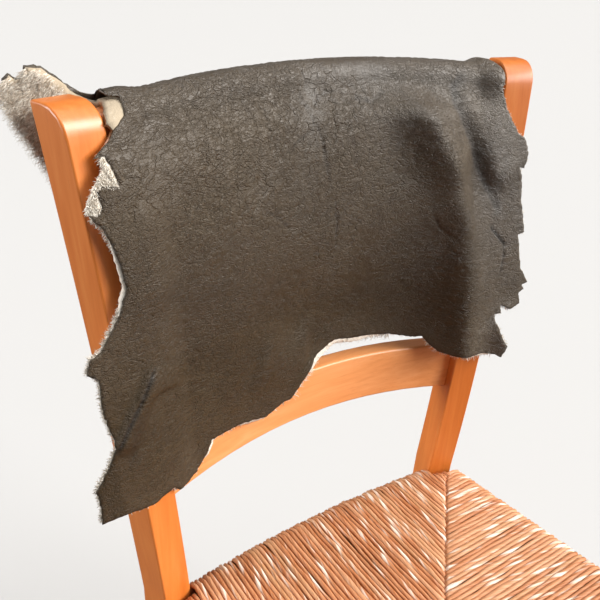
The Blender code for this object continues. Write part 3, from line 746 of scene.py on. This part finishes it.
def cut_outline(start, step):
    """The cut's edge in metres, with a point every step, a little ragged between its corners."""
    corners = np.array(start + LEFT_EDGE + BOTTOM_EDGE + RIGHT_EDGE + BACK_EDGE) * MM
    coarse, fine = FRAYS
    points = []
    for start, end in zip(corners, np.roll(corners, -1, axis=0)):
        count = max(1, math.ceil(np.linalg.norm(end - start) / step))
        normal = np.array((end[1] - start[1], start[0] - end[0])) / np.linalg.norm(end - start)
        for i in range(count):
            place = start + (end - start) * i / count
            stray = noise.noise((*(place * coarse), 3.0)) + 0.6 * noise.noise((*(place * fine), 9.0))
            points.append(place + normal * TORN * stray * (i > 0))
    return np.array(points)


# %% Filling an outline with places
def outline_distance(outline, places):
    """Whether each place is inside the outline, and how far it is from the edge."""
    inside = np.zeros(len(places), bool)
    nearest = np.full(len(places), np.inf)
    x, y = places[:, 0], places[:, 1]
    for (ax, ay), (bx, by) in zip(outline, np.roll(outline, -1, axis=0)):
        if ay != by:
            crosses = (ay > y) != (by > y)
            inside ^= crosses & (x < ax + (y - ay) / (by - ay) * (bx - ax))
        rx, ry = bx - ax, by - ay
        share = np.clip(((x - ax) * rx + (y - ay) * ry) / (rx * rx + ry * ry), 0, 1)
        nearest = np.minimum(nearest, np.hypot(x - ax - rx * share, y - ay - ry * share))
    return inside, nearest


def even_places(outline, low, high, step):
    """Places in staggered rows inside the outline, between two limits along the cut."""
    rows_at = np.arange(low, high, step * 0.87)
    left, right = outline[:, 0].min(), outline[:, 0].max()
    grid = np.array([
        (x + (step / 2 if i % 2 else 0), along)
        for i, along in enumerate(rows_at)
        for x in np.arange(left, right, step)
    ])
    inside, nearest = outline_distance(outline, grid)
    return grid[inside & (nearest > step * 0.6)]


def fill_outline(outline, places):
    """Triangles over an outline and the places inside it."""
    edges = [(i, (i + 1) % len(outline)) for i in range(len(outline))]
    everything = [Vector(p) for p in np.concatenate((outline, places))]
    flat, _, faces, _, _, _ = delaunay_2d_cdt(everything, edges, [], 1, 1e-7)
    return np.array([(p.x, p.y) for p in flat]), [list(f)[::-1] for f in faces]


NORMAL_STEP, FRAME_STEP = 0.0015, 0.001


def drape_runs(flat, step):
    """How the draped sheet runs across and along, from a step before each place to one after it."""
    x, y = flat.T
    return drape(x + step, y) - drape(x - step, y), drape(x, y + step) - drape(x, y - step)


def sheet_normals(flat):
    """The way out of the sheet at each place."""
    across, along = drape_runs(flat, NORMAL_STEP)
    return unit(np.cross(along, across))


def frame_at(flat):
    """Places in the middle of the sheet, and its ways across, along and out there."""
    across, along = drape_runs(flat, FRAME_STEP)
    return drape(*flat.T), unit(across), unit(along), sheet_normals(flat)


# %% [markdown]
# ### Wrinkles
# Soft leather breaks into a net of fine wrinkles where it has been bent often. The wider ones are
# real relief here: cells of 13 and 6.5 mm that fade in and out, the larger ones deepest over the
# top of the middle. The finer ones are left to the material.


# %% Wrinkle relief
noise.seed_set(5)  # noise_vector starts from the clock without it


def wrinkle_depth(flat, cell, width, seed):
    """How deep in a wrinkle each place is, from 0 to 1, for a net of cells of one size."""
    depth = np.zeros(len(flat))
    for i, (x, y) in enumerate(flat):
        place = Vector((x / cell, y / cell, seed))
        bent = place + 0.45 * noise.noise_vector(place * 1.3) + 0.15 * noise.noise_vector(place * 3.7)
        distances, _ = noise.voronoi(Vector((bent.x, bent.y, seed)))
        depth[i] = math.exp(-(((distances[1] - distances[0]) * cell / width) ** 2))
    return depth


def patchy(flat, scale, seed, low, high):
    """A slow pattern from 0 to 1 that says where something shows."""
    values = [noise.noise((x / scale, y / scale, seed)) for x, y in flat]
    return soft_step((np.array(values) - low) / (high - low))


# %% [markdown]
# ## Leather
# The outside is the skin side, dressed to a soft dark grey-brown with a low sheen. It gives the eye
# a matt body colour, with painted shade in its wrinkles and creases, and a fine net of wrinkles a
# few millimetres apart that catches small lights. Over the top rail and by the right edge a painted
# sheen makes it shine more and look greyer. Lower down painted shade makes it duller and browner.


# %% The leather material
def leather():
    """Grey-brown dressed sheepskin with a fine wrinkled grain."""
    made, add, shader = start_material("dressed_sheepskin")
    flat = add("UVMap", {}, uv_map="flat")

    def wrinkles(scale, turn, stretch, stray, line):
        """Thin lines round irregular cells: 0 in a line and 1 between the lines."""
        wander = add(
            "TexNoise",
            {"Vector": flat, "Scale": scale * 0.45, "Detail": 3.0, "Roughness": 0.65}, "Color",
        )
        strayed = add(
            "MixRGB", {"Fac": stray, "Color1": flat, "Color2": wander}, blend_type="LINEAR_LIGHT"
        )
        turned = add(
            "Mapping",
            {"Vector": strayed, "Rotation": (0, 0, math.radians(turn)), "Scale": (1.0, stretch, 1.0)},
        )
        cells = add(
            "TexVoronoi", {"Vector": turned, "Scale": scale, "Randomness": 1.0},
            feature="DISTANCE_TO_EDGE",
        )
        between = add(
            "MapRange", {"Value": cells, "From Min": 0.0, "From Max": line},
            interpolation_type="SMOOTHSTEP",
        )
        broken = add("TexNoise", {"Vector": strayed, "Scale": scale * 0.8, "Detail": 1.0})
        gaps = add("MapRange", {"Value": broken, "From Min": 0.46, "From Max": 0.60})
        return add("Math", {0: between, 1: gaps}, operation="MAXIMUM")

    def veins(scale, turn, stretch, line):
        """Long wandering wrinkles: 0 in a line and 1 between the lines."""
        turned = add(
            "Mapping",
            {"Vector": flat, "Rotation": (0, 0, math.radians(turn)), "Scale": (1.0, stretch, 1.0)},
        )
        waves = add(
            "TexNoise",
            {"Vector": turned, "Scale": scale, "Detail": 3.0, "Roughness": 0.55, "Distortion": 0.6},
        )
        level = add("Math", {0: waves, 1: 0.5}, operation="SUBTRACT")
        near = add("Math", {0: level}, operation="ABSOLUTE")
        return add(
            "MapRange", {"Value": near, "From Min": 0.0, "From Max": line},
            interpolation_type="SMOOTHSTEP",
        )

    def patches(scale, low, high, most):
        """A broad patchy share, from 0 to most."""
        broad = add("TexNoise", {"Vector": flat, "Scale": scale, "Detail": 2.0})
        return add(
            "MapRange", {"Value": broad, "From Min": low, "From Max": high, "To Max": most},
            interpolation_type="SMOOTHSTEP",
        )

    height = add("TexNoise", {"Vector": flat, "Scale": 900.0, "Detail": 3.0, "Roughness": 0.7})
    net = add("Attribute", {}, "Fac", attribute_name="net")
    for lines, share in (
        (veins(62.0, -30.0, 2.0, 0.030), patches(10.0, 0.36, 0.6, 1.2)),
        (veins(120.0, 60.0, 2.2, 0.045), patches(13.0, 0.34, 0.56, 0.7)),
        (veins(230.0, 10.0, 1.8, 0.070), patches(17.0, 0.30, 0.56, 0.6)),
        (wrinkles(230.0, 12.0, 1.6, 0.0040, 0.10), patches(19.0, 0.34, 0.6, 0.5)),
        (wrinkles(112.0, 80.0, 1.25, 0.0070, 0.07), net),
    ):
        height = add("Math", {0: lines, 1: share, 2: height}, operation="MULTIPLY_ADD")
    relief = add("Bump", {"Height": height, "Strength": 0.9, "Distance": 0.0006})
    broad = add("TexNoise", {"Vector": flat, "Scale": 9.0, "Detail": 4.0, "Roughness": 0.65})
    body = add(
        "ValToRGB", {"Fac": broad}, stops=((0.28, "#332612"), (0.50, "#40311B"), (0.74, "#4D3E28"))
    )
    # Painted shade: the colour darkens down into the wrinkles' grooves.
    sunk = add(
        "MapRange", {"Value": height, "From Min": 0.0, "From Max": 1.3, "To Min": 0.6, "To Max": 0.0}
    )
    shaded_grooves = add("Mix", {FACTOR: sunk, FIRST: body, SECOND: "#2A1E12"}, **COLOURS)
    # Painted shade: the colour is darkened along the creases, the deeper the darker.
    crease = add("Attribute", {}, "Fac", attribute_name="crease")
    with_crease_shade = add("Mix", {FACTOR: crease, FIRST: shaded_grooves, SECOND: "#1E150C"}, **COLOURS)
    # Painted light: the sheen is raised high up, and lower down the colour is darkened as painted shade.
    lit_share = add("Attribute", {}, "Fac", attribute_name="lit_share")
    unlit_share = add("MapRange", {"Value": lit_share, "From Max": 0.6, "To Min": 0.25, "To Max": 0.0})
    with_painted_shade = add("Mix", {FACTOR: unlit_share, FIRST: with_crease_shade, SECOND: "#1D1409"}, **COLOURS)
    sheen = add("MapRange", {"Value": lit_share, "To Min": 0.22, "To Max": 1.15})
    gloss = add(
        "MapRange", {"Value": broad, "From Min": 0.3, "From Max": 0.7, "To Min": 0.46, "To Max": 0.56}
    )
    set_inputs(
        shader,
        {"Base Color": with_painted_shade, "Roughness": gloss, "Normal": relief, "Specular IOR Level": sheen},
    )
    return made


leather_surface = leather()

# %% The leather sheet
EDGE_STEP, FRONT_STEP, BACK_STEP = 0.0022, 0.0021, 0.0046
FINE_BELOW = -0.035  # the grid is fine in front of this place along the cut
LEATHER_THICK = 0.0013
BESIDE_CREASE = (-0.0015, -0.0007, 0, 0.0007, 0.0015)
CREASE_STEP, CREASE_ROOM, EDGE_ROOM = 0.0013, 0.0022, 0.0008
CORNER_CURL = 0.0042  # how far the torn corners curl up over the top rail's ends
# The last of these is painted shade: how far a crease's colour is darkened at most.
COARSE_DEEP, SMALL_DEEP, CREASE_SHADE = 0.0008, 0.0005, 0.88
FULL_SHADE_DEPTH = 0.0017  # a crease this deep gets the full painted shade
# soft steps that bound an area: across (0) or along (1), where the step starts, and its run
CURLED_LEFT = ((0, -0.138, -0.024), (0, -0.186, 0.014), (1, 0.010, -0.008), (1, -0.026, 0.016))
CURLED_RIGHT = ((0, 0.154, 0.014), (1, 0.045, -0.035), (1, -0.024, 0.020))
# The right edge gets more of the painted sheen.
LIT_SHARE_RIGHT = ((0, 0.138, 0.026),)
LIT_SHARE_AT = (0.0, 0.02, 0.04, 0.08, 0.13, 0.17, 0.21, 0.28, 0.31)  # places along the cut
LIT_SHARE = (1.0, 0.95, 0.72, 0.52, 0.46, 0.36, 0.16, 0.18, 0.30)  # painted light there: more sheen where high, painted shade where low


def crease_places(outline):
    """Close rows of places beside each crease, so that its narrow valley is really there."""
    found = []
    for *_, line in CREASES:
        corners = np.array(line) * MM
        for start, end in zip(corners, corners[1:]):
            run = end - start
            normal = np.array((-run[1], run[0])) / np.linalg.norm(run)
            for share in np.arange(0, 1, CREASE_STEP / np.linalg.norm(run)):
                found += [start + run * share + normal * aside for aside in BESIDE_CREASE]
    found = np.array(found)
    inside, nearest = outline_distance(outline, found)
    return found[inside & (nearest > EDGE_ROOM)]


def soft_area(flat, steps):
    """1 in an area between soft steps and 0 outside it."""
    share = np.ones(len(flat))
    for axis, start, run in steps:
        share = share * soft_step((flat[:, axis] - start) / run)
    return share


leather_edge = cut_outline(LEATHER_START + LEATHER_NOTCH, EDGE_STEP)
front_places = even_places(leather_edge, FINE_BELOW, leather_edge[:, 1].max(), FRONT_STEP)
back_places = even_places(leather_edge, leather_edge[:, 1].min(), FINE_BELOW, BACK_STEP)
for *_, line in CREASES:
    front_places = front_places[along_line(line, *front_places.T)[0] > CREASE_ROOM]
leather_flat, leather_faces = fill_outline(
    leather_edge, np.concatenate((front_places, back_places, crease_places(leather_edge)))
)
print("leather places:", len(leather_flat))

# %% Its relief and its look, place by place
across, along = leather_flat.T
coarse = wrinkle_depth(leather_flat, 0.013, 0.0022, 1.5)
small = wrinkle_depth(leather_flat, 0.0065, 0.0013, 8.5)
shows_coarse = patchy(leather_flat, 0.05, 4.0, -0.25, 0.25)
shows_small = patchy(leather_flat, 0.04, 21.0, -0.3, 0.2)
top_middle = np.exp(-(((across + 0.03) / 0.10) ** 2 + ((along - 0.06) / 0.06) ** 2))
crease_relief = fold_height(CREASES, across, along)
relief = (
    CORNER_CURL * (soft_area(leather_flat, CURLED_LEFT) + soft_area(leather_flat, CURLED_RIGHT))
    - COARSE_DEEP * coarse * (0.55 * shows_coarse + 0.8 * top_middle)
    - SMALL_DEEP * small * shows_small
    + crease_relief
)
looks = {
    # painted shade along the creases
    "crease": np.clip(-crease_relief / FULL_SHADE_DEPTH, 0, 1) * CREASE_SHADE,
    "net": 0.35 * shows_coarse + 1.1 * top_middle,
    # painted light: sheen over the top and by the right edge, painted shade lower down
    "lit_share": np.interp(along, LIT_SHARE_AT, LIT_SHARE) + 0.40 * soft_area(leather_flat, LIT_SHARE_RIGHT),
}
leather_points = drape(across, along) + sheet_normals(leather_flat) * (HIDE_THICK / 2 + relief)[:, None]
hide_leather = mesh_piece("hide_leather", leather_points, leather_faces, leather_flat, looks)
apply_modifier(hide_leather, "thickness", "SOLIDIFY", thickness=LEATHER_THICK, offset=-1.0)
face_out(hide_leather)
finish_piece(hide_leather, leather_surface)
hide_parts("hide")
print("leather faces:", len(hide_leather.data.polygons))

# %% [markdown]
# ## Wool
# The inside is the fleece, clipped short: off-white locks a few millimetres long, matted, darker
# between the clumps, and greyer on the flap. It gives the eye a dull, broken surface with no shine.
# Under the whole hide it is a lumpy sheet. Where it can be seen, at the torn edges, in the notch by
# the post and on the flap, it is made of small bent locks.


# %% The wool material
def wool(name, dark, light):
    """Short matted fleece."""
    made, add, shader = start_material(name)
    place = add("TexCoord", {}, "Object")
    clumps = add("TexNoise", {"Vector": place, "Scale": 190.0, "Detail": 4.0, "Roughness": 0.7})
    tone = add("Attribute", {}, "Fac", attribute_name="tone")
    both = add("Math", {0: tone, 1: 0.6, 2: clumps}, operation="MULTIPLY_ADD")
    colour = add("ValToRGB", {"Fac": both}, stops=((0.35, dark), (0.75, light), (1.0, "#F1EBE0")))
    relief = add("Bump", {"Height": clumps, "Strength": 0.8, "Distance": 0.0012})
    set_inputs(
        shader, {"Base Color": colour, "Normal": relief, "Roughness": 0.95, "Specular IOR Level": 0.15}
    )
    return made


white_wool = wool("clipped_fleece", "#B3A48E", "#E6DDD0")
grey_wool = wool("greyer_fleece", "#9C8C7A", "#D0C2B0")

# %% The wool sheet
WOOL_STEP, WOOL_EDGE_STEP = 0.0042, 0.003
WOOL_OUT, WOOL_IN = 0.0011, -0.0024  # its two faces, from the sheet's middle
LUMP_DEEP, LUMPS = 0.0009, 160  # how deep its lumps are, and how many waves to the metre
UNDER_EDGE = 0.0012  # how far the wool's edge lies behind the torn edge
# In a rim the wool is drawn out past that edge instead. A row gives its name, its middle across
# and along, how far it is drawn out, and half its length, in millimetres.
WOOL_RIMS = (
    ("over the lower rail", 28, 258, 5.6, 44),
    ("under the left part", -70, 298, 4.0, 20),
    ("by the left post", -116, 299, 5.0, 11),
    ("right corner", 170, 280, 3.6, 14),
    ("left hollow", -186, 108, 2.8, 26),
)
GREYER_TONE_BEHIND = 0.025  # the wool is greyer from here on over the rail and down the back
GREYER_TONE, WHITER_TONE = -0.45, 0.45  # its tone


def moved_in(outline, amount):
    """The outline, moved inwards a little."""
    run = np.roll(outline, -1, axis=0) - np.roll(outline, 1, axis=0)
    normal = unit(np.stack((-run[:, 1], run[:, 0]), axis=1))
    inside, _ = outline_distance(outline, outline + normal * 0.0003)
    if inside.mean() < 0.5:
        normal = -normal
    return outline + normal * amount


wool_cut = cut_outline(WOOL_START + WOOL_NOTCH, WOOL_EDGE_STEP)
drawn_out = np.zeros(len(wool_cut))
for _, x, y, reach, half_length in WOOL_RIMS:
    away = np.hypot(wool_cut[:, 0] - x * MM, wool_cut[:, 1] - y * MM)
    drawn_out = np.maximum(drawn_out, reach * MM * np.exp(-((away / (half_length * MM)) ** 4)))
wool_edge = moved_in(wool_cut, (UNDER_EDGE - drawn_out)[:, None])
wool_places = even_places(wool_edge, wool_edge[:, 1].min(), wool_edge[:, 1].max(), WOOL_STEP)
wool_flat, wool_faces = fill_outline(wool_edge, wool_places)
wool_out = sheet_normals(wool_flat)
wool_middle = drape(*wool_flat.T)
# The wool gives way below each crease of the leather.
wide_creases = [(name, 2 * deep, 5, 5, 0.1, line) for name, deep, _, _, _, line in CREASES]
under_creases = fold_height(wide_creases, *wool_flat.T)
lumps = np.array([noise.noise((x * LUMPS, y * LUMPS, 2.0)) for x, y in wool_flat])
outer_face = wool_middle + wool_out * (WOOL_OUT + under_creases)[:, None]
inner_face = wool_middle + wool_out * (WOOL_IN - LUMP_DEEP * lumps)[:, None]
wool_points = np.concatenate((outer_face, inner_face))
wool_tone = np.where(wool_flat[:, 1] < GREYER_TONE_BEHIND, GREYER_TONE, WHITER_TONE)
half, rim = len(wool_flat), len(wool_edge)
wool_shell = [f[::-1] for f in wool_faces] + [[i + half for i in f] for f in wool_faces]
wool_shell += [[i, (i + 1) % rim, (i + 1) % rim + half, i + half] for i in range(rim)]
hide_wool = mesh_piece(
    "hide_wool", wool_points, wool_shell, np.tile(wool_flat, (2, 1)), {"tone": np.tile(wool_tone, 2)}
)
face_out(hide_wool)
finish_piece(hide_wool, white_wool)
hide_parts("hide")


# %% Locks of wool
LOCK_RINGS = ((0.0, 1.0), (0.45, 0.85), (0.8, 0.45))  # share of a lock's length, and thickness there
LOCK_POINTS = 10  # three rings of three and the tip
LOCK_FACES = [(0, 2, 1), (6, 7, 9), (7, 8, 9), (8, 6, 9)]
LOCK_FACES += [
    (low + i, low + (i + 1) % 3, low + 3 + (i + 1) % 3, low + 3 + i) for low in (0, 3) for i in range(3)
]
STRAY = 0.35


def wool_locks(name, roots, aims, length, width, surface, seed, stray=STRAY):
    """Small bent locks, thick at the root and pointed, as one mesh."""
    chance = np.random.default_rng(seed)
    count = len(roots)
    aims = unit(aims + chance.normal(0, stray, (count, 3)))
    aside = unit(np.cross(aims, chance.normal(0, 1, (count, 3))))
    other = np.cross(aims, aside)
    long = length * chance.uniform(0.55, 1.3, count)
    thick = width * chance.uniform(0.6, 1.3, count)
    bend = chance.uniform(0.1, 0.6, count) * stray / STRAY
    rings = []
    for share, fat in LOCK_RINGS:
        middle = roots + aims * (long * share)[:, None] + aside * (long * bend * share**2)[:, None]
        middle += other * (long * 0.16 * math.sin(share * 6.0))[:, None]
        for turn in range(3):
            angle = turn * 2 * math.pi / 3
            offset = math.cos(angle) * aside + math.sin(angle) * other
            rings.append(middle + offset * (thick * fat / 2)[:, None])
    rings.append(roots + aims * long[:, None] + aside * (long * bend)[:, None])
    points = np.stack(rings, axis=1).reshape(-1, 3)
    faces = [
        tuple(i + LOCK_POINTS * lock for i in face) for lock in range(count) for face in LOCK_FACES
    ]
    tone = np.repeat(chance.uniform(0, 1, count), LOCK_POINTS)
    piece = mesh_piece(name, points, faces, None, {"tone": tone})
    print(name, "locks:", count)
    return finish_piece(piece, surface)


# %% Locks along the torn edge
# name, part of the edge, then the spacing, length and width of the locks, and the seed
EDGE_LOCKS = (
    ("locks_left_edge", LEFT_EDGE, 0.00022, 0.0032, 0.0008, 31),
    ("locks_bottom_edge", BOTTOM_EDGE, 0.00028, 0.0038, 0.0008, 32),
    ("locks_right_edge", RIGHT_EDGE, 0.0005, 0.0040, 0.0008, 33),
    ("locks_at_step", BOTTOM_EDGE[10:18], 0.00016, 0.0072, 0.0007, 34),
    ("locks_at_corner", BOTTOM_EDGE[20:], 0.00030, 0.0060, 0.0007, 35),
    ("locks_over_rail", BOTTOM_EDGE[4:11], 0.00022, 0.0050, 0.0007, 36),
)
BEHIND_EDGE = 0.0015
DEPTHS = -0.0022, 0.0006  # the roots lie between these, from the sheet's middle
DROOP = 0.25


def edge_locks(name, rows_of, spacing, length, width, seed):
    """Locks that stand out past the leather along part of the torn edge."""
    chance = np.random.default_rng(seed)
    corners = np.array(rows_of) * MM
    places, ways = [], []
    for start, end in zip(corners, corners[1:]):
        run = end - start
        count = max(1, int(np.linalg.norm(run) / spacing))
        places += [start + run * share for share in chance.uniform(0, 1, count)]
        ways += [np.array((-run[1], run[0])) / np.linalg.norm(run)] * count
    places, ways = np.array(places), np.array(ways)
    inside, _ = outline_distance(leather_edge, places + ways * 0.002)
    ways[inside] *= -1
    middle, across, along, out = frame_at(places - ways * BEHIND_EDGE)
    outward = across * ways[:, :1] + along * ways[:, 1:]
    roots = middle + out * chance.uniform(*DEPTHS, len(places))[:, None]
    wool_locks(name, roots, outward - out * DROOP, length, width, white_wool, seed)


for row in EDGE_LOCKS:
    edge_locks(*row)

# %% Locks in the notch and on the flap
NOTCH_LOW, NOTCH_HIGH, NOTCH_LOCKS = (-0.206, 0.026), (-0.166, 0.068), 2600
FLAP_LOW, FLAP_HIGH, FLAP_LOCKS = (-0.224, -0.075), (-0.179, 0.012), 12000
spot_chance = np.random.default_rng(41)


def wool_spots(low, high, tries):
    """Chance places on the wool, in a box on the flat cut."""
    spots = np.stack([spot_chance.uniform(a, b, tries) for a, b in zip(low, high)], axis=1)
    return spots[outline_distance(wool_edge, spots)[0]]


def spot_locks(name, spots, depth, aim, length, width, surface, seed, stray=STRAY):
    """Locks at places on the flat cut, whose aim is given as out, across and along the sheet."""
    middle, across, along, out = frame_at(spots)
    aims = out * aim[0] + across * aim[1] + along * aim[2]
    wool_locks(name, middle + out * depth, aims, length, width, surface, seed, stray)


bare = wool_spots(NOTCH_LOW, NOTCH_HIGH, 14000)
bare = bare[~outline_distance(leather_edge, bare)[0]][:NOTCH_LOCKS]
spot_locks("locks_in_notch", bare, 0.0006, (0.15, -0.6, 0.6), 0.0032, 0.0008, white_wool, 42)
on_flap = wool_spots(FLAP_LOW, FLAP_HIGH, 30000)[:FLAP_LOCKS]
spot_locks(
    "locks_on_flap", on_flap, -0.0020, (-0.06, -0.85, -0.45), 0.0090, 0.00035, grey_wool, 43, 0.09
)

# %% [markdown]
# ## Floor and light
# The room is pale and even. Two wide soft suns, on the right and in front, shape the folds. One
# above fills them, and one behind on the left lights the posts' left sides. The floor sends no
# light back up, so the undersides stay dark.

# %% Floor
bpy.ops.mesh.primitive_plane_add(size=120.0, location=(0, 0, 0))
floor = bpy.context.active_object
floor.name = "floor"
floor_surface, _, floor_shader = start_material("pale_floor")
set_inputs(floor_shader, {"Base Color": "#C6C5C4", "Roughness": 0.9})
floor.data.materials.append(floor_surface)
floor.visible_diffuse = False
floor.visible_glossy = False
floor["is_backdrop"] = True

# %% Light
world = bpy.data.worlds.new("soft_room")
world.use_nodes = True
set_inputs(world.node_tree.nodes["Background"], {"Color": "#FBFBFC", "Strength": 0.15})
bpy.context.scene.world = world
bpy.context.scene.view_settings.view_transform = "Standard"
SUNS = (  # name, way to it, strength, how wide it looks in degrees, colour
    ("sun_right", (0.72, -0.50, 0.48), 3.1, 25, "#FFFBF4"),
    ("sun_front", (0.52, -0.76, 0.38), 2.4, 30, "#FFFFFF"),
    ("sun_above", (0.20, -0.20, 0.96), 1.6, 50, "#FFFFFF"),
    ("sun_left", (-0.91, 0.34, 0.22), 3.0, 30, "#FFFFFF"),
)
for name, towards, strength, wide, colour in SUNS:
    light = bpy.data.lights.new(name, "SUN")
    light.energy = strength
    light.angle = math.radians(wide)
    light.color = linear(colour)[:3]
    lamp = bpy.data.objects.new(name, light)
    lamp.rotation_euler = Vector(towards).to_track_quat("Z", "Y").to_euler()
    bpy.context.scene.collection.objects.link(lamp)

# %% Finish
low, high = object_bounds()
